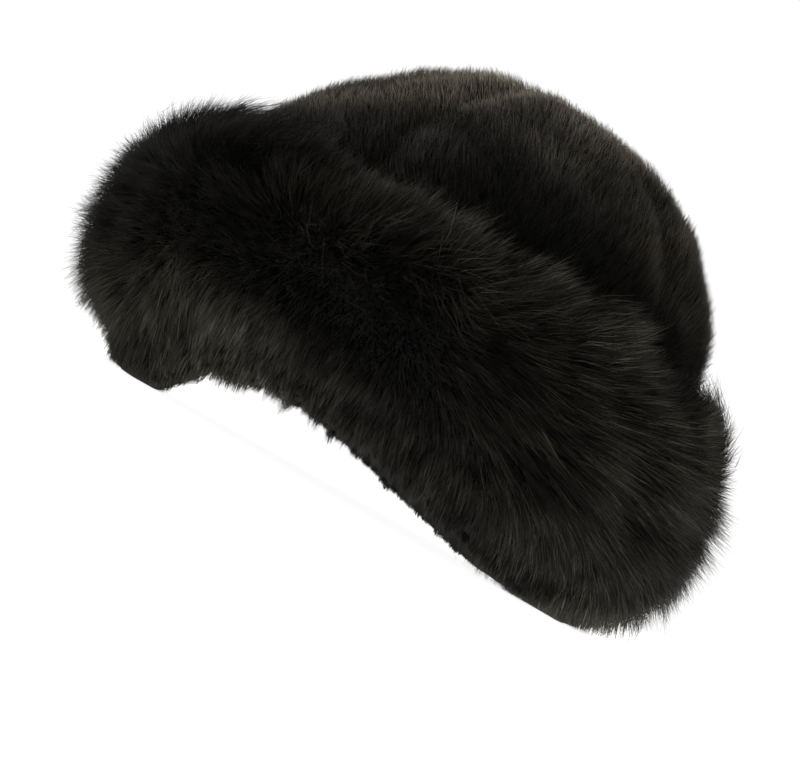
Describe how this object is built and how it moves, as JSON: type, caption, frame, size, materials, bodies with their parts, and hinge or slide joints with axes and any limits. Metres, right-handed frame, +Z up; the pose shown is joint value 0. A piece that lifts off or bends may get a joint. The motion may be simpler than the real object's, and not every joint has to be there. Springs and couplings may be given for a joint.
{
  "type": "fur hat",
  "caption": "Women's black fur winter hat: soft domed crown of short fur and a wide turned-up cuff of long fur.",
  "frame": {"origin": "centre of the hat's footprint, on the surface that it rests on", "axes": "+Z up through the crown, -Y towards the hat's front, +X towards the wearer's left"},
  "size_m": [0.2964, 0.3245, 0.1967],
  "materials": {
    "short_fur": "short dense warm-black fur pile with a soft sheen",
    "long_fur": "long glossy warm-black fur standing out from the cuff"
  },
  "bodies": {
    "root": {"crown_front_gore": "short_fur", "crown_left_gore": "short_fur", "crown_back_gore": "short_fur", "crown_right_gore": "short_fur", "cuff": "long_fur"}
  },
  "joints": []
}
